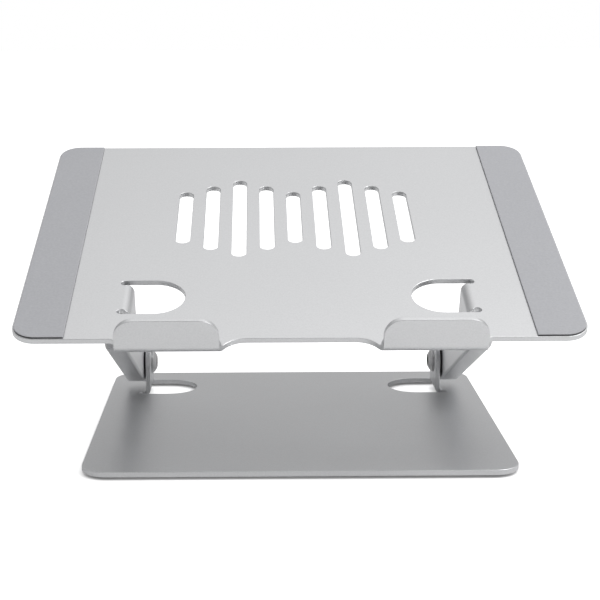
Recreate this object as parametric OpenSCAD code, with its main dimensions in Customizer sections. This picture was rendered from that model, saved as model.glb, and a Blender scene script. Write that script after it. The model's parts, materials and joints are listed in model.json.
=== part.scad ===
// Adjustable laptop stand. A flat base and a vented top plate, each cut and bent
// from one aluminium sheet, are joined by two solid arms that turn on screws.
// +X is the stand's right side, +Y is its back and +Z is up. The origin is on the
// table, under the middle of the stand's outer box.

/* [Pose] */
// Angle of the arms above level (0 is folded flat)
arm_angle = 22.7; // [0:0.1:75]
// Tilt of the top plate, back edge up
tilt = 20; // [0:1:33]

/* [Top plate] */
// Width of the top plate
top_w = 300; // [280:1:330]
// Depth of the top plate, front edge to back edge
top_d = 230; // [215:1:245]
// Thickness of the top sheet
top_t = 3; // [2:0.5:3]
// Radius of the top plate's corners
top_r = 13; // [5:1:25]

/* [Vent slots] */
// Number of vent slots
slot_count = 9; // [5:4:9]
// Spacing of the vent slots
slot_pitch = 16.3; // [12:0.1:17]
// Width of a vent slot
slot_w = 8.5; // [4:0.5:10]
// Length of the shortest vent slots
slot_short = 64; // [40:1:70]
// Length of the longest vent slots
slot_long = 95.5; // [70:0.5:100]
// Distance from the front edge to the middle of the vent slots
slot_mid = 133; // [125:1:145]

/* [Front lips] */
// Width of each lip
lip_w = 53.5; // [40:0.5:60]
// Distance from the stand's middle to the inner end of a lip
lip_in = 41.5; // [36:0.5:44]
// Height of the lips above the top plate
lip_h = 17.5; // [12:0.5:25]
// Distance from the plate's front edge to the lips' outer face
lip_out = 11; // [8:0.5:12]
// Radius of the lips' upper corners
lip_r = 10; // [4:0.5:12]
// Radius of the inner fillet where a lip leaves the front edge
lip_flare = 14; // [12:0.5:18]
// Radius of the outer fillet where a lip leaves the front edge
lip_fillet = 4; // [2:0.5:4]

/* [Side pads] */
// Width of each side pad
pad_w = 27.2; // [15:0.1:35]
// Thickness of the pads
pad_t = 1; // [0.5:0.1:2]
// Distance from the plate's edges to the side pads
pad_inset = 0.8; // [0.3:0.1:3]
// Distance from a lip's edges to the pad on its inner face
lip_pad_inset = 4; // [3:0.5:5]

/* [Base plate] */
// Width of the base plate
base_w = 230; // [224:1:250]
// Depth of the base plate, front edge to back edge
base_d = 204; // [198:1:230]
// Thickness of the base sheet
base_t = 3; // [2.5:0.5:4]
// Radius of the base plate's corners
base_r = 14; // [5:1:20]
// Diameter of the rubber feet
foot_dia = 14; // [8:1:14]
// Height of the rubber feet
foot_h = 1.5; // [1:0.5:3]
// Distance from the base plate's edges to the middle of a foot
foot_inset = 11.5; // [10:0.5:12]

/* [Ears and openings] */
// Distance from the stand's middle to the outer face of the ears
ear_x = 92.5; // [88:0.5:95]
// Radius of the ears' round ends
ear_r = 13.5; // [12:0.5:13.5]
// Inner radius of the sheet bends at the ears
ear_bend = 2; // [2:0.5:3]
// Half the depth of the openings that the ears are bent out of
opening_r = 17; // [15.5:0.5:18]
// Distance from the stand's middle to the round ends of the openings
opening_tip = 61; // [58:0.5:65]
// Radius of the relief holes at the ends of the ears' bends
relief_r = 2.3; // [1.8:0.1:2.5]

/* [Pivots and arms] */
// Distance from the base plate's front edge to the lower pivots
lower_pivot_d = 169; // [165:1:172]
// Distance from the top plate's front edge to the upper pivots
upper_pivot_d = 41.5; // [38:0.5:45]
// Distance from each plate to its pivots: upwards from the base plate's upper
// face, and downwards from the top plate's lower face
pivot_h = 16.5; // [16.5:0.5:19]
// Distance between the lower and upper pivots
arm_len = 124; // [115:1:130]
// Width of the arms, across the stand
arm_w = 11.5; // [11:0.5:13]
// Radius of the arms' round ends
arm_r = 12.5; // [11:0.5:13]
// Radius of the arms' rounded edges
arm_edge = 1.5; // [1:0.5:3]

/* [Screws and washers] */
// Diameter of the pivot screws
screw_dia = 8; // [6:1:8]
// Length of the pivot screws under the head
screw_len = 14; // [13:0.5:14]
// Diameter of the screw heads
head_dia = 14; // [12:0.5:15]
// Height of the screw heads
head_h = 2.9; // [2.7:0.1:4.5]
// Size across the flats of the hexagon sockets
hex_af = 5; // [4:0.5:5]
// Depth of the hexagon sockets
hex_depth = 1.9; // [1.5:0.1:2.3]
// Thickness of the steel washers under the screw heads
head_washer_t = 0.5; // [0.4:0.1:0.8]
// Diameter of the steel washers under the screw heads
head_washer_dia = 15; // [14:0.5:18]
// Thickness of the nylon washers between ears and arms
nylon_t = 1; // [0.8:0.1:1.2]
// Diameter of the nylon washers between ears and arms
nylon_dia = 20; // [16:0.5:24]
// Radial clearance between the screws and the holes they turn in
running_gap = 0.06; // [0.02:0.01:0.1]

/* [Hidden] */
$fn = 96;

satin_silver = [0.80, 0.81, 0.82];
pad_grey = [0.62, 0.63, 0.65];
steel_grey = [0.66, 0.67, 0.68];
nylon_black = [0.10, 0.10, 0.11];
rubber_black = [0.13, 0.13, 0.14];

// The inner radius of the sheet bends at the lips
lip_bend = 2;
// Solids that are joined run this far into each other
joint_lap = 1;
// Cutting solids stand out this far past what they cut
past = 1;

// The upper pivot, counted from the base plate's front edge
upper_reach = lower_pivot_d - arm_len * cos(arm_angle);
// The top plate's upper face, and the lips' outer face and upper edge, counted from
// the upper pivot
top_face = pivot_h + top_t;
lip_face = -(upper_pivot_d + lip_out);
lip_top = top_face + lip_h;
// The front and back of the whole stand, counted from the base plate's front edge
stand_front = min(0, upper_reach + lip_face * cos(tilt) - lip_top * sin(tilt));
stand_back = max(base_d, upper_reach + (top_d - upper_pivot_d) * cos(tilt)
    - pivot_h * sin(tilt));
base_front = -(stand_front + stand_back) / 2;

base_top = foot_h + base_t;
lower_y = base_front + lower_pivot_d;
lower_z = base_top + pivot_h;
upper_y = base_front + upper_reach;
upper_z = lower_z + arm_len * sin(arm_angle);

arm_x = ear_x + nylon_t;
bore_r = screw_dia / 2 + running_gap;
// The screw holes in the arms stop this far short of the outer face
blind_wall = 1;
// The head is a rim with a dome over it, and the dome ends in a small flat
head_rim = 0.7;
head_flat_r = head_dia * 0.29;

// Puts a right-hand piece on the right, or its mirror image on the left
module on_side(side) {
    if (side == "right") children();
    else mirror([1, 0, 0]) children();
}

// Frame of the arms: the lower pivot, with -Y running up the arm
module at_lower_pivot() {
    translate([0, lower_y, lower_z]) rotate([-arm_angle, 0, 0]) children();
}

// Frame of the top plate: the upper pivot, with +Y running up the plate
module at_upper_pivot() {
    translate([0, upper_y, upper_z]) rotate([tilt, 0, 0]) children();
}

// A round disc, rod or hole along X
module rod_x(start, length, radius) {
    translate([start, 0, 0]) rotate([0, 90, 0]) cylinder(h = length, r = radius);
}

module ring_x(start, length, outer_r, inner_r) {
    difference() {
        rod_x(start, length, outer_r);
        rod_x(start - past, length + 2 * past, inner_r);
    }
}

// Rectangle with round corners, from its front edge at y = 0 backwards
module round_plate(width, depth, radius) {
    translate([-width / 2, radius]) square([width, depth - 2 * radius]);
    translate([-width / 2 + radius, 0]) square([width - 2 * radius, depth]);
    for (x = [-1, 1] * (width / 2 - radius))
        for (y = [radius, depth - radius])
            translate([x, y]) circle(radius);
}

// Slot with round ends, running along Y and centred on the origin
module slot(width, length) {
    square([width, length - width], center = true);
    for (y = [-1, 1] * (length - width) / 2) translate([0, y]) circle(width / 2);
}

// Opening that an ear is bent out of, with the pivot at y = 0
module ear_opening() {
    bend_x = ear_x + ear_bend;
    translate([opening_tip + opening_r, 0]) circle(opening_r);
    translate([opening_tip + opening_r, -opening_r])
        square([bend_x - opening_tip - opening_r, 2 * opening_r]);
    ear_reliefs();
}

// Holes that keep the sheet from tearing at both ends of an ear's bend
module ear_reliefs() {
    for (y = [-1, 1] * (opening_r - relief_r))
        translate([ear_x + ear_bend, y]) circle(relief_r);
}

// One ear, bent up out of a sheet that lies under the pivot. The origin is the
// pivot, and gap is the distance from the pivot down to the sheet's upper face.
module ear(sheet, gap) {
    bend_x = ear_x + ear_bend;
    bend_z = -gap + ear_bend;
    difference() {
        intersection() {
            translate([0, ear_r, 0]) rotate([90, 0, 0]) linear_extrude(2 * ear_r)
                ear_section(sheet, bend_x, bend_z);
            union() {
                rod_x(0, 2 * ear_x, ear_r);
                translate([0, -ear_r, -gap - sheet]) cube([2 * ear_x, 2 * ear_r, gap + sheet]);
            }
        }
        rod_x(0, 2 * ear_x, bore_r);
        translate([0, 0, -gap - sheet - past]) linear_extrude(sheet + ear_bend + 2 * past)
            ear_reliefs();
    }
}

// The bent sheet seen from the front: a leg, a quarter bend and a short lap
module ear_section(sheet, bend_x, bend_z) {
    translate([ear_x - sheet, bend_z]) square([sheet, ear_r - bend_z]);
    intersection() {
        translate([bend_x, bend_z]) difference() {
            circle(ear_bend + sheet);
            circle(ear_bend);
        }
        translate([ear_x - sheet, bend_z - ear_bend - sheet]) square(ear_bend + sheet);
    }
    translate([bend_x, bend_z - ear_bend - sheet]) square([joint_lap, sheet]);
}

module base_plate() {
    color(satin_silver) {
        translate([0, base_front, foot_h]) linear_extrude(base_t) difference() {
            round_plate(base_w, base_d, base_r);
            for (side = ["left", "right"])
                on_side(side) translate([0, lower_pivot_d]) ear_opening();
        }
        for (side = ["left", "right"])
            on_side(side) translate([0, lower_y, lower_z]) ear(base_t, pivot_h);
    }
}

module foot(side, y) {
    color(rubber_black) on_side(side)
        translate([base_w / 2 - foot_inset, base_front + y, 0]) cylinder(h = foot_h, d = foot_dia);
}

// Bar with round ends and rounded edges, with a blind screw hole at each pivot
module arm(side) {
    color(satin_silver) on_side(side) at_lower_pivot() difference() {
        union() {
            translate([arm_x, 0, 0]) rotate([90, 0, 0]) linear_extrude(arm_len)
                translate([0, -arm_r]) arm_section(2 * arm_r);
            for (y = [0, -arm_len]) translate([arm_x, y, 0]) arm_end();
        }
        for (y = [0, -arm_len]) translate([0, y, 0])
            rod_x(arm_x - past, arm_w - blind_wall + past, bore_r);
    }
}

// Cross-section of an arm, with its lower left corner at the origin
module arm_section(height) {
    translate([0, arm_edge]) square([arm_w, height - 2 * arm_edge]);
    translate([arm_edge, 0]) square([arm_w - 2 * arm_edge, height]);
    for (x = [arm_edge, arm_w - arm_edge])
        for (y = [arm_edge, height - arm_edge])
            translate([x, y]) circle(arm_edge);
}

// Round end of an arm: its section turned about the pivot
module arm_end() {
    rotate([0, 90, 0]) rotate_extrude() intersection() {
        translate([-arm_r, 0]) rotate([0, 0, 90]) mirror([0, 1]) arm_section(2 * arm_r);
        square([arm_r, arm_w]);
    }
}

// Button-head screw along X, with its head on the stand's inner side
module screw(under_head) {
    color(steel_grey) difference() {
        union() {
            rod_x(under_head, screw_len, screw_dia / 2);
            translate([under_head, 0, 0]) rotate([0, -90, 0]) screw_head();
        }
        translate([under_head - head_h - past, 0, 0]) rotate([0, 90, 0])
            cylinder(h = hex_depth + past, r = hex_af / 2 / cos(30), $fn = 6);
    }
}

// Rim and dome, turned about Z. The dome's ball meets the rim and the top flat.
module screw_head() {
    rim_r = head_dia / 2;
    ball_z = (pow(head_h, 2) + pow(head_flat_r, 2) - pow(head_rim, 2) - pow(rim_r, 2))
        / (2 * (head_h - head_rim));
    ball_r = sqrt(pow(rim_r, 2) + pow(head_rim - ball_z, 2));
    rotate_extrude() intersection() {
        translate([0, ball_z]) circle(ball_r);
        square([rim_r, head_h]);
    }
}

module head_washer(under_head) {
    color(steel_grey) ring_x(under_head, head_washer_t, head_washer_dia / 2, bore_r);
}

module nylon_washer() {
    color(nylon_black) ring_x(ear_x, nylon_t, nylon_dia / 2, bore_r);
}

module at_screws(side, level) {
    on_side(side)
        if (level == "lower") at_lower_pivot() children();
        else at_upper_pivot() children();
}

module pivot_screw(side, level) {
    sheet = level == "lower" ? base_t : top_t;
    at_screws(side, level) screw(ear_x - sheet - head_washer_t);
}

module pivot_head_washer(side, level) {
    sheet = level == "lower" ? base_t : top_t;
    at_screws(side, level) head_washer(ear_x - sheet - head_washer_t);
}

module pivot_nylon_washer(side, level) {
    at_screws(side, level) nylon_washer();
}

// Length of a vent slot: short, middling, long, middling and short again
function slot_length(i) = slot_short + (slot_long - slot_short) * (1 - abs(i % 4 - 2) / 2);

module vent_slots() {
    for (i = [0 : slot_count - 1])
        translate([(i - (slot_count - 1) / 2) * slot_pitch, slot_mid])
            slot(slot_w, slot_length(i));
}

module top_plate() {
    color(satin_silver) at_upper_pivot() {
        translate([0, -upper_pivot_d, pivot_h]) linear_extrude(top_t) difference() {
            round_plate(top_w, top_d, top_r);
            vent_slots();
            for (side = ["left", "right"])
                on_side(side) translate([0, upper_pivot_d]) ear_opening();
        }
        for (side = ["left", "right"]) on_side(side) {
            mirror([0, 0, 1]) ear(top_t, pivot_h);
            lip();
        }
    }
}

// One front lip: a bent strip, trimmed to its outline seen from above and in front
module lip() {
    flare_w = lip_flare_width();
    intersection() {
        translate([lip_in - flare_w, 0, 0]) rotate([90, 0, 90])
            linear_extrude(flare_w + lip_w + lip_fillet) lip_section();
        translate([0, -upper_pivot_d, pivot_h - past])
            linear_extrude(top_t + lip_h + 2 * past) lip_plan(flare_w);
        translate([0, 0, top_face]) rotate([90, 0, 0])
            linear_extrude(upper_pivot_d + lip_out + past) lip_front(flare_w);
    }
}

// Width of the inner flare, so that it runs out just at the lip's outer face
function lip_flare_width() = sqrt(pow(lip_flare, 2) - pow(lip_flare - lip_out, 2));

// The bent strip seen from the side, in Y and Z about the upper pivot
module lip_section() {
    bend_y = lip_face + top_t + lip_bend;
    bend_z = top_face + lip_bend;
    translate([lip_face, bend_z]) square([top_t, lip_top - bend_z]);
    intersection() {
        translate([bend_y, bend_z]) difference() {
            circle(lip_bend + top_t);
            circle(lip_bend);
        }
        translate([lip_face, pivot_h]) square(lip_bend + top_t);
    }
    translate([bend_y, pivot_h])
        square([-upper_pivot_d + joint_lap - bend_y, top_t]);
}

// Outline of a lip seen from above, with the plate's front edge at y = 0
module lip_plan(flare_w) {
    translate([lip_in, -lip_out]) square([lip_w, lip_out + joint_lap]);
    difference() {
        translate([lip_in - flare_w, -lip_out]) square([flare_w + past, lip_out + joint_lap]);
        translate([lip_in - flare_w, -lip_flare]) circle(lip_flare);
    }
    difference() {
        translate([lip_in + lip_w - past, -lip_fillet])
            square([lip_fillet + past, lip_fillet + joint_lap]);
        translate([lip_in + lip_w + lip_fillet, -lip_fillet]) circle(lip_fillet);
    }
}

// Outline of a lip seen from in front, with the plate's upper face at y = 0
module lip_front(flare_w) {
    foot_r = lip_bend + 1.5;
    foot_y = lip_bend + foot_r;
    translate([lip_in, 0]) square([lip_w, lip_h - lip_r]);
    translate([lip_in + lip_r, 0]) square([lip_w - 2 * lip_r, lip_h]);
    for (x = [lip_in + lip_r, lip_in + lip_w - lip_r])
        translate([x, lip_h - lip_r]) circle(lip_r);
    translate([lip_in - flare_w, -top_t - past])
        square([flare_w + lip_w + lip_fillet, top_t + past + lip_bend]);
    difference() {
        translate([lip_in - foot_r, 0]) square([foot_r + past, foot_y]);
        translate([lip_in - foot_r, foot_y]) circle(foot_r);
    }
}

// Soft strip that covers one side of the top plate
module side_pad(side) {
    color(pad_grey) on_side(side) at_upper_pivot()
        translate([0, pad_inset - upper_pivot_d, top_face]) linear_extrude(pad_t) intersection() {
            round_plate(top_w - 2 * pad_inset, top_d - 2 * pad_inset, top_r - pad_inset);
            translate([top_w / 2 - pad_inset - pad_w, 0]) square([pad_w, top_d]);
        }
}

// Soft strip on the inner face of a lip, clear of the bend
module lip_pad(side) {
    pad_len = lip_w - 2 * lip_pad_inset;
    pad_h = lip_h - lip_bend - lip_pad_inset / 2 - 0.5;
    color(pad_grey) on_side(side) at_upper_pivot()
        translate([lip_in + lip_w / 2, lip_face + top_t + pad_t, top_face + lip_bend + 0.5])
            rotate([90, 0, 0]) linear_extrude(pad_t) round_plate(pad_len, pad_h, pad_h / 3);
}

base_plate();
foot("left", foot_inset);  // foot_front_left
foot("right", foot_inset);  // foot_front_right
foot("left", base_d - foot_inset);  // foot_rear_left
foot("right", base_d - foot_inset);  // foot_rear_right
arm("left");  // arm_left
arm("right");  // arm_right
pivot_screw("left", "lower");  // lower_screw_left
pivot_screw("right", "lower");  // lower_screw_right
pivot_head_washer("left", "lower");  // lower_head_washer_left
pivot_head_washer("right", "lower");  // lower_head_washer_right
pivot_nylon_washer("left", "lower");  // lower_nylon_washer_left
pivot_nylon_washer("right", "lower");  // lower_nylon_washer_right
pivot_screw("left", "upper");  // upper_screw_left
pivot_screw("right", "upper");  // upper_screw_right
pivot_head_washer("left", "upper");  // upper_head_washer_left
pivot_head_washer("right", "upper");  // upper_head_washer_right
pivot_nylon_washer("left", "upper");  // upper_nylon_washer_left
pivot_nylon_washer("right", "upper");  // upper_nylon_washer_right
top_plate();
side_pad("left");  // side_pad_left
side_pad("right");  // side_pad_right
lip_pad("left");  // lip_pad_left
lip_pad("right");  // lip_pad_right
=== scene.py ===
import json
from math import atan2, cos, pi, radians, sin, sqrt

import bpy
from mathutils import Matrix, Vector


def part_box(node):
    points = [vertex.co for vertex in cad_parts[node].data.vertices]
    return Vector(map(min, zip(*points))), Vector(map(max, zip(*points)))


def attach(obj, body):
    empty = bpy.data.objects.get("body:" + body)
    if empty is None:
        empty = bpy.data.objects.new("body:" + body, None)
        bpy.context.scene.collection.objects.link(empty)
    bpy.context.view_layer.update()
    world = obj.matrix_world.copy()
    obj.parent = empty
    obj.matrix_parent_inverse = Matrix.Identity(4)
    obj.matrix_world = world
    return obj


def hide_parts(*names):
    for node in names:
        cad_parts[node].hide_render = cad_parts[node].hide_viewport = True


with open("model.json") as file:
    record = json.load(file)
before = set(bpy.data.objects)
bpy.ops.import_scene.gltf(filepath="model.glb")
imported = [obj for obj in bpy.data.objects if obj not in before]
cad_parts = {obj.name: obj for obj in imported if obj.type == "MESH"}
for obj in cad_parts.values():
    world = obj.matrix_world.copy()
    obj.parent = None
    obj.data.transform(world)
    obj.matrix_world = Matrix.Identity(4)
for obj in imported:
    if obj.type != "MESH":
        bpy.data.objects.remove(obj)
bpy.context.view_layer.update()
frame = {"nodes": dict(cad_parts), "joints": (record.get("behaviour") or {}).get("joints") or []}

# %% [markdown]
# # A folding laptop stand
# The stand is two bent sheets of aluminium, a base and a vented top, joined by two solid
# arms that turn on button-head screws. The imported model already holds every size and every
# pivot, so this lesson works around it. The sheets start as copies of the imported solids,
# because their bends and cut-outs have to stay exactly where the pivots expect them. The
# arms, screws, washers, pads and feet are modelled again from primitives, because a turned
# or moulded part has rounds, chamfers and sockets that the plain solids leave out.

MM = 0.001
nodes = frame["nodes"]
joints = {joint["name"]: joint for joint in frame["joints"]}
lower_pivot = Vector(joints["arm_lift"]["pos_m"])
upper_pivot = Vector(joints["top_tilt"]["pos_m"])
arm_reach = (upper_pivot - lower_pivot).length
arm_angle = atan2(upper_pivot.z - lower_pivot.z, lower_pivot.y - upper_pivot.y)
print("the pivots are", round(arm_reach / MM, 1), "mm apart")

# %% [markdown]
# ## Camera
# A stand like this is shown from in front and a little above, with a long lens, so that the
# top plate makes a broad trapezium and the base can be seen under it. The camera is made
# first. It is turned about one axis at a time, which keeps the level of the horizon apart
# from the look down, and a small lens shift brings the stand into the frame without turning
# the camera away from it.

# %% Camera
camera_place = Vector((-22.4, -775.1, 230.0)) * MM
look_down, look_right, roll = radians(11.48), radians(0.355), radians(-0.227)
bpy.ops.object.camera_add()
camera = bpy.context.object
camera.matrix_world = (
    Matrix.Translation(camera_place)
    @ Matrix.Rotation(-look_right, 4, "Z")
    @ Matrix.Rotation(pi / 2 - look_down, 4, "X")
    @ Matrix.Rotation(roll, 4, "Z")
)
camera.data.sensor_width = 36
camera.data.lens = 81
camera.data.shift_x = 0.058
bpy.context.scene.camera = camera
bpy.context.scene.view_settings.view_transform = "Standard"
print("the camera is", round(camera_place.length, 2), "m from the stand")

# %% [markdown]
# ## Floor and light
# Satin metal has almost no colour of its own: what it shows is a blurred picture of the room.
# The room here is a white floor, a bright ceiling and dimmer walls, darkest behind the
# camera. The tilted top plate mirrors the ceiling and looks light, the level base mirrors
# the far wall and looks a darker grey, and the front edges mirror the dark end of the room.
# The room could be built from cards and lamps, but a world shader with three soft gradients
# does the same with no noise, and one large lamp adds the soft shadow. The floor glows
# just enough to look pure white, except in the narrow gap under the base, where an
# occlusion test dims the glow and leaves a thin line of painted shade.

# %% Floor
def colour_nodes(material):
    """Clears a material and returns its nodes, its links and its one shader."""
    material.use_nodes = True
    tree = material.node_tree
    tree.nodes.clear()
    shader = tree.nodes.new("ShaderNodeBsdfPrincipled")
    output = tree.nodes.new("ShaderNodeOutputMaterial")
    tree.links.new(shader.outputs["BSDF"], output.inputs["Surface"])
    return tree.nodes, tree.links, shader


bpy.ops.mesh.primitive_plane_add(size=24, location=(0, 0, 0))
floor = bpy.context.object
floor.name = "studio_floor"
floor_paint = bpy.data.materials.new("floor_paint")
floor_nodes, floor_links, floor_shader = colour_nodes(floor_paint)
floor_shader.inputs["Base Color"].default_value = (0.86, 0.86, 0.86, 1)
floor_shader.inputs["Roughness"].default_value = 0.9
floor_shader.inputs["Specular IOR Level"].default_value = 0.1
floor_shader.inputs["Emission Color"].default_value = (1, 1, 1, 1)
seen = floor_nodes.new("ShaderNodeLightPath")
# Occlusion dims the floor's glow in the gap under the base: a painted shade line.
under_edge = floor_nodes.new("ShaderNodeAmbientOcclusion")
under_edge.inputs["Distance"].default_value = 5 * MM
shaded = floor_nodes.new("ShaderNodeMath")
shaded.operation = "MULTIPLY"
glow = floor_nodes.new("ShaderNodeMapRange")
for socket, value in (("To Min", 0.03), ("To Max", 0.80)):
    glow.inputs[socket].default_value = value
floor_links.new(seen.outputs["Is Camera Ray"], shaded.inputs[0])
floor_links.new(under_edge.outputs["AO"], shaded.inputs[1])
floor_links.new(shaded.outputs["Value"], glow.inputs["Value"])
floor_links.new(glow.outputs["Result"], floor_shader.inputs["Emission Strength"])
from_below = floor_nodes.new("ShaderNodeNewGeometry")
clear = floor_nodes.new("ShaderNodeBsdfTransparent")
one_sided = floor_nodes.new("ShaderNodeMixShader")
floor_output = next(node for node in floor_nodes if node.type == "OUTPUT_MATERIAL")
floor_links.new(from_below.outputs["Backfacing"], one_sided.inputs["Fac"])
floor_links.new(floor_shader.outputs["BSDF"], one_sided.inputs[1])
floor_links.new(clear.outputs["BSDF"], one_sided.inputs[2])
floor_links.new(one_sided.outputs["Shader"], floor_output.inputs["Surface"])
floor.data.materials.append(floor_paint)

# %% Room light
world = bpy.data.worlds.new("soft_room")
bpy.context.scene.world = world
world.use_nodes = True
room, wires = world.node_tree.nodes, world.node_tree.links
room.clear()
direction = room.new("ShaderNodeTexCoord")
split = room.new("ShaderNodeSeparateXYZ")
wires.new(direction.outputs["Generated"], split.inputs["Vector"])
tone = None
for axis, start, end, low, high in (
    ("Z", 0.40, 0.95, 0.59, 1.31),
    ("X", -0.8, 0.8, 0.80, 1.13),
    ("Y", -0.9, 0.4, 0.45, 1.0),
):
    gradient = room.new("ShaderNodeMapRange")
    gradient.interpolation_type = "SMOOTHSTEP"
    for name, value in (("From Min", start), ("From Max", end), ("To Min", low), ("To Max", high)):
        gradient.inputs[name].default_value = value
    wires.new(split.outputs[axis], gradient.inputs["Value"])
    if tone:
        product = room.new("ShaderNodeMath")
        product.operation = "MULTIPLY"
        wires.new(tone, product.inputs[0])
        wires.new(gradient.outputs["Result"], product.inputs[1])
        tone = product.outputs["Value"]
    else:
        tone = gradient.outputs["Result"]
room_light = room.new("ShaderNodeBackground")
seen_light = room.new("ShaderNodeBackground")
seen_light.inputs["Color"].default_value = (1, 1, 1, 1)
light_path = room.new("ShaderNodeLightPath")
mix = room.new("ShaderNodeMixShader")
output = room.new("ShaderNodeOutputWorld")
wires.new(tone, room_light.inputs["Strength"])
wires.new(light_path.outputs["Is Camera Ray"], mix.inputs["Fac"])
wires.new(room_light.outputs["Background"], mix.inputs[1])
wires.new(seen_light.outputs["Background"], mix.inputs[2])
wires.new(mix.outputs["Shader"], output.inputs["Surface"])

# %% Lamp
bpy.ops.object.light_add(type="AREA", location=(0.9, -0.3, 1.3))
lamp = bpy.context.object
lamp.data.shape = "DISK"
lamp.data.size = 0.9
lamp.data.energy = 9
lamp.rotation_euler = (Vector((0, 0, 0.05)) - lamp.location).to_track_quat("-Z", "Y").to_euler()

# %% [markdown]
# ## Working by selection
# Everything below is done with the same tools a modeller uses by hand, so a few small
# helpers stand in for the hand: they make a piece the only selected object, pick faces or
# edges by where they lie and which way they look, and run a modifier and bake it in.

# %% Hands
def only(piece):
    """Leaves one object selected and active."""
    bpy.ops.object.select_all(action="DESELECT")
    piece.select_set(True)
    bpy.context.view_layer.objects.active = piece


def pick(piece, faces=None, edges=None):
    """Opens a piece in edit mode with just the faces or edges that pass the test selected.
    A face is tested by its centre and normal, and an edge by its two ends."""
    only(piece)
    bpy.context.tool_settings.mesh_select_mode = (False, edges is not None, edges is None)
    bpy.ops.object.mode_set(mode="EDIT")
    bpy.ops.mesh.select_all(action="DESELECT")
    bpy.ops.object.mode_set(mode="OBJECT")
    mesh = piece.data
    if edges:
        for edge in mesh.edges:
            a, b = (mesh.vertices[i].co for i in edge.vertices)
            edge.select = bool(edges(a, b))
    else:
        for face in mesh.polygons:
            face.select = bool(faces(face.center, face.normal))
    bpy.ops.object.mode_set(mode="EDIT")


def pick_all(piece):
    only(piece)
    bpy.ops.object.mode_set(mode="EDIT")
    bpy.ops.mesh.select_all(action="SELECT")


def leave():
    bpy.ops.object.mode_set(mode="OBJECT")


def bake(piece, kind, **settings):
    """Adds a modifier with these settings and applies it."""
    only(piece)
    modifier = piece.modifiers.new(kind.lower(), kind)
    for name, value in settings.items():
        setattr(modifier, name, value)
    bpy.ops.object.modifier_apply(modifier=modifier.name)


def paint_picked(piece, materials):
    """Gives the picked faces the second of two materials and leaves edit mode."""
    if not piece.data.materials:
        for material in materials:
            piece.data.materials.append(material)
    piece.active_material_index = 1
    bpy.ops.object.material_slot_assign()
    leave()


def join_up(piece):
    """Merges points that coincide and joins faces that lie in one plane."""
    pick_all(piece)
    bpy.ops.mesh.remove_doubles(threshold=0.002 * MM)
    bpy.ops.mesh.dissolve_limited(angle_limit=radians(0.3), delimit={"NORMAL"})
    leave()


def shade(piece, degrees=35):
    """Smooth shading that keeps broad flats flat: the biggest faces lead the normals."""
    only(piece)
    bpy.ops.object.shade_smooth_by_angle(angle=radians(degrees))
    bake(piece, "WEIGHTED_NORMAL", mode="FACE_AREA", weight=50, keep_sharp=True)


# %% [markdown]
# ## Putting pieces in place
# Every piece is modelled where it is easy to model, flat on the origin, and then put where
# it belongs by one matrix that is applied to its mesh. The finished object then sits at the
# origin, unturned, so that patterns on object coordinates are in real metres on all pieces.
# The stand is the same on both sides, and turning a piece half round about the upright axis
# puts it on the other side with its faces still pointing outwards.

# %% Placing and handing over
def put(source, name, place, materials):
    """A copy of a modelled piece with its own mesh, moved by a matrix into its place. Each
    face keeps the number of its material slot."""
    piece = bpy.data.objects.new(name, source.data.copy())
    bpy.context.scene.collection.objects.link(piece)
    piece.data.transform(place)
    piece.data.update()
    slots = [face.material_index for face in piece.data.polygons]
    piece.data.materials.clear()
    for material in materials:
        piece.data.materials.append(material)
    for face, slot in zip(piece.data.polygons, slots):
        face.material_index = slot
    return piece


def hand_over(piece, body, node):
    """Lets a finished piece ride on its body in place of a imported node."""
    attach(piece, body)
    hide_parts(node)
    print(piece.name, "has", len(piece.data.polygons), "faces and stands for", node)


# %% [markdown]
# ## Finishes
# Bead-blasted aluminium is covered with tiny dents, a third of a millimetre across, under a
# clear anodised skin. The dents can't be seen one by one, but they blur what the metal
# mirrors and give it a faint sparkle. One group of nodes serves every finish here, with its
# own grain size for each, because silicone, nylon and rubber have a fine grain too. Where
# hands hold the metal it carries faint cloudy marks, which change the gloss more than the
# colour, and a second group makes those.

# %% Starting a group
def new_group(name, inputs, outputs):
    """An empty node group whose inputs and outputs are all plain values."""
    group = bpy.data.node_groups.new(name, "ShaderNodeTree")
    for label, value in inputs.items():
        socket = group.interface.new_socket(label, in_out="INPUT", socket_type="NodeSocketFloat")
        socket.default_value = value
    for label in outputs:
        group.interface.new_socket(label, in_out="OUTPUT", socket_type="NodeSocketFloat")
    start = group.nodes.new("NodeGroupInput")
    end = group.nodes.new("NodeGroupOutput")
    return group, start, end


def noise(group, coords, detail):
    """A noise texture on object coordinates, which are metres on the finished piece."""
    texture = group.nodes.new("ShaderNodeTexNoise")
    texture.inputs["Detail"].default_value = detail
    group.links.new(coords.outputs["Object"], texture.inputs["Vector"])
    return texture


# %% Grain group
grain_group, start, end = new_group("fine_grain", {"Grains per metre": 3000.0}, ["Dents", "Fleck"])
coords = grain_group.nodes.new("ShaderNodeTexCoord")
dents = noise(grain_group, coords, 2.0)
flecks = noise(grain_group, coords, 0.0)
fleck_scale = grain_group.nodes.new("ShaderNodeMath")
fleck_scale.operation = "MULTIPLY"
fleck_scale.inputs[1].default_value = 0.45
grain_group.links.new(start.outputs["Grains per metre"], dents.inputs["Scale"])
grain_group.links.new(start.outputs["Grains per metre"], fleck_scale.inputs[0])
grain_group.links.new(fleck_scale.outputs["Value"], flecks.inputs["Scale"])
grain_group.links.new(dents.outputs["Fac"], end.inputs["Dents"])
grain_group.links.new(flecks.outputs["Fac"], end.inputs["Fleck"])

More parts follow.
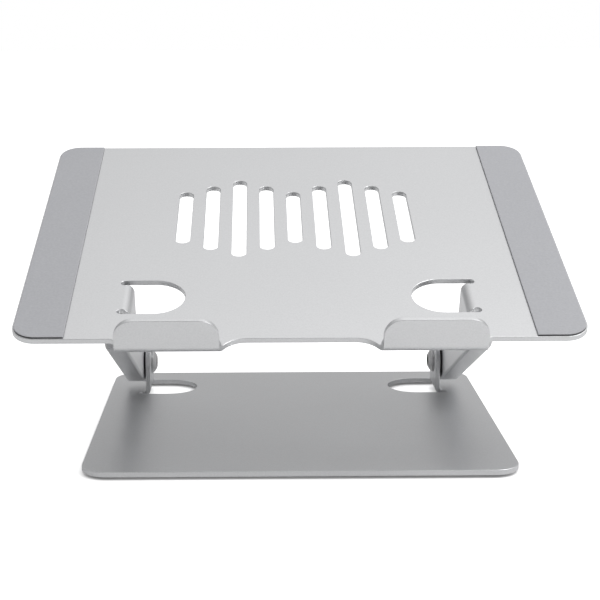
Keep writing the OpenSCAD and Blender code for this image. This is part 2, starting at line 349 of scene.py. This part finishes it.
# %% Handling group
mark_group, start, end = new_group("handling_marks", {"Marks per metre": 14.0}, ["Marks", "Clouds"])
coords = mark_group.nodes.new("ShaderNodeTexCoord")
marks = noise(mark_group, coords, 6.0)
marks.inputs["Distortion"].default_value = 0.6
clouds = noise(mark_group, coords, 3.0)
clouds.inputs["Scale"].default_value = 5.0
mark_group.links.new(start.outputs["Marks per metre"], marks.inputs["Scale"])
mark_group.links.new(marks.outputs["Fac"], end.inputs["Marks"])
mark_group.links.new(clouds.outputs["Fac"], end.inputs["Clouds"])

# %% [markdown]
# ## Materials
# A finish is made the same way each time. The flecks and the clouds together choose a colour
# between a darker and a lighter one, the handling marks choose a roughness between two
# limits, and the dents become a bump. What differs is the numbers. The metal's own grey is
# set by how much light aluminium or nickel returns. The edges of the sheets get a lighter
# colour of their own: partly a tumbled edge rubbed brighter than the flat beside it, and
# partly a painted highlight along the edges. Two dark finishes are painted shade in small
# places: the contact shadow line at the foot of a pad and the shade inside a screw socket.

# %% Building a finish from the groups
def finish(name, dark, light, smoothest, roughest, grains, dent_depth, metallic=0.0):
    """A material made of the two groups. Colours are greys or red, green and blue."""
    material = bpy.data.materials.new(name)
    new, link, shader = colour_nodes(material)
    grain = new.new("ShaderNodeGroup")
    grain.node_tree = grain_group
    grain.inputs["Grains per metre"].default_value = grains
    handling = new.new("ShaderNodeGroup")
    handling.node_tree = mark_group
    tone = new.new("ShaderNodeMix")
    tone.inputs["Factor"].default_value = 0.45
    link.new(grain.outputs["Fleck"], tone.inputs["A"])
    link.new(handling.outputs["Clouds"], tone.inputs["B"])
    colour = new.new("ShaderNodeValToRGB")
    for stop, place, value in zip(colour.color_ramp.elements, (0.3, 0.7), (dark, light)):
        stop.position = place
        stop.color = (*value, 1)
    link.new(tone.outputs["Result"], colour.inputs["Fac"])
    link.new(colour.outputs["Color"], shader.inputs["Base Color"])
    gloss = new.new("ShaderNodeMapRange")
    for socket, value in zip(list(gloss.inputs)[1:5], (0.3, 0.7, smoothest, roughest)):
        socket.default_value = value
    link.new(handling.outputs["Marks"], gloss.inputs["Value"])
    link.new(gloss.outputs["Result"], shader.inputs["Roughness"])
    bump = new.new("ShaderNodeBump")
    bump.inputs["Strength"].default_value = 0.6
    bump.inputs["Distance"].default_value = dent_depth * MM
    link.new(grain.outputs["Dents"], bump.inputs["Height"])
    link.new(bump.outputs["Normal"], shader.inputs["Normal"])
    shader.inputs["Metallic"].default_value = metallic
    return material


satin_aluminium = finish(
    "satin_aluminium", (0.735, 0.74, 0.75), (0.785, 0.79, 0.80), 0.36, 0.42,
    grains=2600, dent_depth=0.02, metallic=1.0,
)
# A lighter colour for the bevelled strips and lip tops: partly a rubbed edge, partly a painted
# highlight along the edges.
rubbed_edge_and_highlight = finish(
    "rubbed_edge_and_highlight", (0.75, 0.755, 0.765), (0.82, 0.825, 0.835), 0.38, 0.44,
    grains=2600, dent_depth=0.01, metallic=1.0,
)
grey_silicone = finish(
    "grey_silicone", (0.48, 0.485, 0.51), (0.53, 0.535, 0.56), 0.55, 0.66,
    grains=1800, dent_depth=0.03,
)
nickel_steel = finish(
    "nickel_steel", (0.60, 0.60, 0.605), (0.66, 0.66, 0.665), 0.26, 0.34,
    grains=6000, dent_depth=0.003, metallic=1.0,
)
# Painted shade: a dark colour for the contact shadow line at the foot of each pad.
painted_contact_shade = finish(
    "painted_contact_shade", (0.03, 0.03, 0.032), (0.06, 0.06, 0.063), 0.6, 0.7,
    grains=1800, dent_depth=0.02,
)
# Painted shade: a dark colour for the inside of a screw socket, where little light reaches.
painted_socket_shade = finish(
    "painted_socket_shade", (0.05, 0.05, 0.052), (0.09, 0.09, 0.092), 0.45, 0.55,
    grains=3000, dent_depth=0.005, metallic=1.0,
)
black_nylon = finish(
    "black_nylon", (0.012, 0.012, 0.013), (0.025, 0.025, 0.027), 0.45, 0.6,
    grains=1500, dent_depth=0.02,
)
foot_rubber = finish(
    "foot_rubber", (0.018, 0.018, 0.019), (0.035, 0.035, 0.036), 0.6, 0.8,
    grains=1200, dent_depth=0.05,
)

# %% [markdown]
# ## Sheets
# A laser-cut sheet that has been tumbled and blasted has no sharp edges: each one is broken
# by nearly half a millimetre, and that small round is what catches the light. The packed
# solids have sharp edges, so a copy of each is cleaned up first. Its triangles are merged
# and the flat faces joined, and then a bevel rounds every edge that turns by more than
# 30 degrees. The bevelled strips and the upper edges of the lips get a lighter colour, partly
# rubbed edge and partly a painted highlight.

# %% The top plate's own frame, from the face of a packed pad
pad_face = max(nodes["side_pad_right"].data.polygons, key=lambda face: face.area)
pad_normal = pad_face.normal if pad_face.normal.z > 0 else -pad_face.normal
tilt = atan2(-pad_normal.y, pad_normal.z)
top_frame = Matrix.Translation(upper_pivot.copy()) @ Matrix.Rotation(tilt, 4, "X")
print("the top plate is tilted", round(tilt / radians(1), 2), "degrees")


def corners_in_top_frame(node):
    """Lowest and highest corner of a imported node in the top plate's frame, in millimetres."""
    inverse = top_frame.inverted()
    points = [inverse @ vertex.co for vertex in nodes[node].data.vertices]
    low = Vector([min(point[axis] for point in points) for axis in range(3)]) / MM
    high = Vector([max(point[axis] for point in points) for axis in range(3)]) / MM
    return low, high


# %% Upper edges of the lips
sheet_edge = 0.4
lip_top = corners_in_top_frame("top_plate")[1].z
to_top_frame = top_frame.inverted()


# These faces take the lighter edge colour, a painted highlight along the lip tops as well as rubbed
# edge.
def on_lip_top(centre, normal):
    """True for the cut faces along the upper edges of the lips and for their bevels."""
    return (to_top_frame @ centre).z > (lip_top - 1.25 * sheet_edge) * MM


# %% Sheets with broken edges
# Slot 1, the lighter edge colour, goes on the bevelled strips: a painted highlight as well as rubbed
# edge.
sheet_finishes = (satin_aluminium, rubbed_edge_and_highlight)
for node, body in (("base_plate", "base"), ("top_plate", "top")):
    sheet = put(nodes[node], node + "_sheet", Matrix(), sheet_finishes)
    join_up(sheet)
    bake(
        sheet, "BEVEL", width=sheet_edge * MM, segments=3, limit_method="ANGLE",
        angle_limit=radians(30), material=1, use_clamp_overlap=False,
    )
    if node == "top_plate":
        pick(sheet, faces=on_lip_top)
        paint_picked(sheet, sheet_finishes)
    shade(sheet)
    hand_over(sheet, body, node)

# %% [markdown]
# ## Arms
# Each arm is a solid bar with round ends, sawn from extruded flat bar whose long edges are
# rounded, and it has a blind threaded hole at each end. It starts as a box of the bar's
# size. A bevel as large as half the height turns each end into a half circle. The holes are
# cut with cylinders, because a cut keeps the side faces flat right up to the hole, and last
# a small bevel runs round the outline of both sides.

# %% Box helper
def box(name, low, high):
    """A box between two corners, given in millimetres."""
    low, high = Vector(low) * MM, Vector(high) * MM
    bpy.ops.mesh.primitive_cube_add(size=1, location=(low + high) / 2, scale=high - low)
    piece = bpy.context.object
    piece.name = name
    bpy.ops.object.transform_apply(location=True, rotation=True, scale=True)
    return piece


def along(a, b, axis):
    """True if an edge runs along this axis (0, 1 or 2)."""
    return abs(b[axis] - a[axis]) > 0.99 * (b - a).length


# %% One arm, with the lower pivot at the origin and the bar running towards -Y
arm_low, arm_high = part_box("arm_right")
arm_start, arm_end = arm_low[0] / MM, arm_high[0] / MM
arm_radius, arm_edge = 12.5, 1.5
reach = arm_reach / MM
arm = box(
    "arm", (arm_start, -reach - arm_radius, -arm_radius), (arm_end, arm_radius, arm_radius)
)
pick(arm, edges=lambda a, b: along(a, b, 0))
bpy.ops.mesh.bevel(offset=arm_radius * MM, segments=24, affect="EDGES", clamp_overlap=False)
leave()
join_up(arm)
print("the arm bar is", [round(side / MM, 1) for side in arm.dimensions], "mm")

# %% Screw holes, cut with a cylinder at each pivot
bore_radius, blind_wall = 4.06, 1.0
for pivot_y in (0, -reach):
    only(arm)
    bore_end = arm_end - blind_wall
    bpy.ops.mesh.primitive_cylinder_add(
        vertices=48, radius=bore_radius * MM, depth=(bore_end - arm_start + 1) * MM,
        location=Vector(((arm_start - 1 + bore_end) / 2, pivot_y, 0)) * MM,
        rotation=(0, pi / 2, 0),
    )
    drill = bpy.context.object
    bake(arm, "BOOLEAN", operation="DIFFERENCE", object=drill, solver="EXACT")
    bpy.data.objects.remove(drill)

# %% Rounded long edges, on the bar's outline only
def on_outline(point):
    """True for a point as far from the line between the pivots as the bar's radius."""
    nearest = min(max(point.y, -reach * MM), 0)
    return sqrt((point.y - nearest) ** 2 + point.z**2) > 0.99 * arm_radius * MM


pick(arm, edges=lambda a, b: abs(a.x - b.x) < 1e-6 and on_outline(a) and on_outline(b))
bpy.ops.mesh.bevel(offset=arm_edge * MM, segments=6, affect="EDGES", clamp_overlap=False)
leave()
shade(arm)

# %% Both arms in place
HALF_TURN = Matrix.Rotation(pi, 4, "Z")
MIRROR = Matrix.Scale(-1, 4, (1, 0, 0))
arm_frame = Matrix.Translation(lower_pivot.copy()) @ Matrix.Rotation(-arm_angle, 4, "X")


def flip(piece):
    """Turns the faces of a mirrored piece outwards again."""
    pick_all(piece)
    bpy.ops.mesh.normals_make_consistent(inside=False)
    leave()
    shade(piece)


for side, sense in (("right", Matrix()), ("left", MIRROR)):
    piece = put(arm, "arm_bar_" + side, sense @ arm_frame, [satin_aluminium])
    if side == "left":
        flip(piece)
    hand_over(piece, "arms", "arm_" + side)
bpy.data.objects.remove(arm)

# %% [markdown]
# ## Pivot screws
# A button-head screw is turned from bar: a low rim, a dome, a small flat and a hexagon
# socket. It starts as a thin disc for the rim. The top face is extruded up and scaled in at
# each step so that it follows the ball of the dome, and the bottom face is inset to the
# shank and extruded down. The thread could be a true helix, but rings of the same pitch
# can't be told from it once the screw is home in its hole, and they need far fewer faces.

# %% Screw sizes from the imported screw, whose head ends at the washer under it
screw_low, screw_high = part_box("lower_screw_right")
head_radius = (screw_high[2] - screw_low[2]) / 2 / MM
head_height = round((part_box("lower_head_washer_right")[0][0] - screw_low[0]) / MM, 2)
rim_height, shank_radius = 0.7, 4.0
flat_radius = 0.29 * 2 * head_radius
shank_length = (screw_high[0] - screw_low[0]) / MM - head_height
print("the screw head is", round(2 * head_radius, 1), "mm across")

# %% Head
def step_out(height, ratio):
    """Extrudes the selected face along Z and scales it by a ratio."""
    bpy.ops.mesh.extrude_region_move(TRANSFORM_OT_translate={"value": (0, 0, height * MM)})
    bpy.ops.transform.resize(value=(ratio, ratio, 1))


bpy.ops.mesh.primitive_cylinder_add(
    vertices=48, radius=head_radius * MM, depth=rim_height * MM, location=(0, 0, rim_height / 2 * MM)
)
screw = bpy.context.object
bpy.ops.object.transform_apply(location=True, rotation=True, scale=True)
ball_z = (head_height**2 + flat_radius**2 - rim_height**2 - head_radius**2) / (
    2 * (head_height - rim_height)
)
ball_radius = sqrt(head_radius**2 + (rim_height - ball_z) ** 2)
pick(screw, faces=lambda centre, normal: normal.z > 0.9)
height, radius = rim_height, head_radius
dome_steps = 8
start_angle = atan2(rim_height - ball_z, head_radius)
end_angle = atan2(head_height - ball_z, flat_radius)
for step in range(1, dome_steps + 1):
    angle = start_angle + (end_angle - start_angle) * step / dome_steps
    next_height = ball_z + ball_radius * sin(angle)
    next_radius = ball_radius * cos(angle)
    step_out(next_height - height, next_radius / radius)
    height, radius = next_height, next_radius
leave()

# %% Shank with rings for its thread
thread_pitch, thread_depth, plain_length = 1.25, 0.55, 4.0
pick(screw, faces=lambda centre, normal: normal.z < -0.9)
bpy.ops.mesh.inset(thickness=(head_radius - shank_radius) * MM)
step_out(-plain_length, 1)
root = (shank_radius - thread_depth) / shank_radius
turns = int((shank_length - plain_length) / thread_pitch)
for turn in range(turns):
    step_out(-thread_pitch / 2, root)
    step_out(-thread_pitch / 2, 1 / root)
step_out(-(shank_length - plain_length - turns * thread_pitch), 0.88)
leave()

# %% Hexagon socket with a chamfer at its mouth
socket_flats, socket_depth, past = 5.0, 1.9, 1.0
socket_corner = socket_flats / 2 / cos(radians(30))
mouth = socket_corner + 0.5
bpy.ops.mesh.primitive_cylinder_add(
    vertices=6, radius=socket_corner * MM, depth=(socket_depth + past) * MM,
    location=(0, 0, (head_height + (past - socket_depth) / 2) * MM),
)
hexagon = bpy.context.object
bake(screw, "BOOLEAN", operation="DIFFERENCE", object=hexagon, solver="EXACT")
bpy.data.objects.remove(hexagon)
bpy.ops.mesh.primitive_cone_add(
    vertices=48, radius1=0, radius2=mouth * MM, depth=mouth * MM,
    location=(0, 0, (head_height + 0.02 - mouth / 2) * MM),
)
countersink = bpy.context.object
bake(screw, "BOOLEAN", operation="DIFFERENCE", object=countersink, solver="EXACT")
bpy.data.objects.remove(countersink)


def in_socket(centre, normal):
    """True for the six walls, the bottom and the mouth of the socket."""
    inside = Vector((centre.x, centre.y)).length < (socket_corner + 0.2) * MM
    return inside and centre.z > (head_height - socket_depth - 0.1) * MM


# The socket's faces are painted dark, painted shade for the hollow.
screw_finishes = (nickel_steel, painted_socket_shade)
pick(screw, faces=in_socket)
paint_picked(screw, screw_finishes)
bake(
    screw, "BEVEL", width=0.12 * MM, segments=2, limit_method="ANGLE", angle_limit=radians(40),
    use_clamp_overlap=True,
)
shade(screw, 30)

# %% [markdown]
# ## Washers
# Under each screw head lies a stamped steel washer, and between each ear and its arm a
# softer nylon one, which keeps metal from rubbing on metal and gives the hinge its stiff,
# even drag. A ring is quickly made from a disc: both faces are inset, the inner faces are
# bridged through, which opens the hole, and the rims are bevelled.

# %% Ring helper
def ring(name, outer, inner, thickness, edge):
    """A flat ring on the origin, its underside at z = 0, in millimetres."""
    bpy.ops.object.select_all(action="DESELECT")
    bpy.ops.mesh.primitive_cylinder_add(
        vertices=72, radius=outer * MM, depth=thickness * MM, location=(0, 0, thickness / 2 * MM)
    )
    piece = bpy.context.object
    piece.name = name
    bpy.ops.object.transform_apply(location=True, rotation=True, scale=True)
    pick(piece, faces=lambda centre, normal: abs(normal.z) > 0.9)
    bpy.ops.mesh.inset(thickness=(outer - inner) * MM, use_individual=True)
    bpy.ops.mesh.bridge_edge_loops()
    leave()
    rims = {"limit_method": "ANGLE", "angle_limit": radians(40), "use_clamp_overlap": True}
    bake(piece, "BEVEL", width=edge * MM, segments=2, **rims)
    shade(piece, 50)
    return piece


def packed_ring(node):
    """Outer radius and thickness of a packed washer, in millimetres."""
    low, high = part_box(node)
    return round((high[2] - low[2]) / 2 / MM, 2), round((high[0] - low[0]) / MM, 2)


outer, thickness = packed_ring("lower_head_washer_right")
head_washer = ring("head_washer", outer, bore_radius, thickness, 0.12)
outer, thickness = packed_ring("lower_nylon_washer_right")
nylon_washer = ring("nylon_washer", outer, bore_radius, thickness, 0.2)
print("washer sizes", packed_ring("lower_head_washer_right"), (outer, thickness))

# %% Screws and washers in place at the four pivots
TO_X = Matrix.Rotation(pi / 2, 4, "Y")
TO_MINUS_X = Matrix.Rotation(-pi / 2, 4, "Y")
pieces = (
    ("screw", screw, screw_finishes, "steel", TO_MINUS_X),
    ("head_washer", head_washer, (nickel_steel,), "steel", TO_X),
    ("nylon_washer", nylon_washer, (black_nylon,), "nylon", TO_X),
)
for level, pivot, body in (("lower", lower_pivot, "arms"), ("upper", upper_pivot, "upper_pivots")):
    for side, sense in (("right", 1), ("left", -1)):
        for kind, source, materials, slot, stand in pieces:
            node = level + "_" + kind + "_" + side
            low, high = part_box(node)
            starts = {
                "screw": low[0] + head_height * MM if sense > 0 else high[0] - head_height * MM,
                "head_washer": low[0] if sense > 0 else high[0],
                "nylon_washer": low[0] if sense > 0 else high[0],
            }
            turn = Matrix() if sense > 0 else HALF_TURN
            place = Matrix.Translation((starts[kind], pivot.y, pivot.z)) @ turn @ stand
            piece = put(source, "turned_" + node, place, materials)
            hand_over(piece, body, node)
for source in (screw, head_washer, nylon_washer):
    bpy.data.objects.remove(source)

# %% [markdown]
# ## Silicone pads
# The pads are cut from one-millimetre silicone sheet and stuck down. Their top edges are
# softly rounded, and round their foot runs a thin dark line of painted shade, standing for
# the contact shadow where pad meets plate. Each starts as a box of the pad's size; the
# corners that follow the plate are rounded first, then the upper edges, then the lower ones,
# and the upright strip that is left is painted dark as that shadow line.

# %% Side pad
def soften(piece, axis, level, width, segments):
    """Bevels all edges that lie in one plane across an axis."""
    def in_plane(a, b):
        return max(abs(a[axis] - level * MM), abs(b[axis] - level * MM)) < 1e-6
    pick(piece, edges=in_plane)
    bpy.ops.mesh.bevel(offset=width * MM, segments=segments, affect="EDGES", clamp_overlap=False)
    leave()


pad_low, pad_high = corners_in_top_frame("side_pad_right")
side_pad = box("side_pad", pad_low, pad_high)
corner_radius, square_corner = 12.2, 0.5  # the outer corners follow the plate's own
pad_middle = (pad_low.x + pad_high.x) / 2 * MM
pick(side_pad, edges=lambda a, b: along(a, b, 2) and a.x > pad_middle)
bpy.ops.mesh.bevel(offset=corner_radius * MM, segments=16, affect="EDGES", clamp_overlap=False)
leave()
pick(side_pad, edges=lambda a, b: along(a, b, 2) and a.x < pad_low.x * MM + 1e-6)
bpy.ops.mesh.bevel(offset=square_corner * MM, segments=3, affect="EDGES", clamp_overlap=False)
leave()
soften(side_pad, 2, pad_high.z, 0.5, 4)
soften(side_pad, 2, pad_low.z, 0.08, 1)
pad_finishes = (grey_silicone, painted_contact_shade)
# The upright strip is painted dark as the pad's contact shadow line.
pick(side_pad, faces=lambda centre, normal: abs(normal.z) < 0.2)
paint_picked(side_pad, pad_finishes)
shade(side_pad)

# %% Lip pad
lip_low, lip_high = corners_in_top_frame("lip_pad_right")
lip_pad = box("lip_pad", lip_low, lip_high)
pick(lip_pad, edges=lambda a, b: along(a, b, 1))
bpy.ops.mesh.bevel(
    offset=(lip_high.z - lip_low.z) / 3 * MM, segments=10, affect="EDGES", clamp_overlap=False
)
leave()
soften(lip_pad, 1, lip_high.y, 0.5, 4)
soften(lip_pad, 1, lip_low.y, 0.08, 1)
# The upright strip is painted dark as the pad's contact shadow line.
pick(lip_pad, faces=lambda centre, normal: abs(normal.y) < 0.2)
paint_picked(lip_pad, pad_finishes)
shade(lip_pad)

# %% Pads in place on both sides
for kind, source in (("side_pad", side_pad), ("lip_pad", lip_pad)):
    for side, sense in (("right", Matrix()), ("left", MIRROR)):
        piece = put(source, "soft_" + kind + "_" + side, sense @ top_frame, pad_finishes)
        if side == "left":
            flip(piece)
        hand_over(piece, "top", kind + "_" + side)
    bpy.data.objects.remove(source)

# %% [markdown]
# ## Feet
# Four rubber discs are stuck under the base. A moulded foot has a rounded tread edge and a
# shallow dish in the tread, so that it grips with a ring and doesn't act as a suction cup.

# %% Feet
foot_low, foot_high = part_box("foot_front_right")
foot_radius = (foot_high[0] - foot_low[0]) / 2 / MM
foot_height = (foot_high[2] - foot_low[2]) / MM
bpy.ops.object.select_all(action="DESELECT")
bpy.ops.mesh.primitive_cylinder_add(
    vertices=64, radius=foot_radius * MM, depth=foot_height * MM,
    location=(0, 0, foot_height / 2 * MM),
)
foot = bpy.context.object
bpy.ops.object.transform_apply(location=True, rotation=True, scale=True)
soften(foot, 2, 0, 0.5, 4)
pick(foot, faces=lambda centre, normal: normal.z < -0.999)
bpy.ops.mesh.inset(thickness=1.6 * MM)
bpy.ops.mesh.inset(thickness=0.3 * MM, depth=-0.3 * MM)
leave()
soften(foot, 2, foot_height, 0.12, 1)
shade(foot)
for end in ("front", "rear"):
    for side in ("left", "right"):
        node = "foot_" + end + "_" + side
        low, high = (Vector(corner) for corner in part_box(node))
        middle = (low + high) / 2
        place = Matrix.Translation((middle.x, middle.y, low.z))
        piece = put(foot, "moulded_" + node, place, [foot_rubber])
        hand_over(piece, "base", node)
bpy.data.objects.remove(foot)
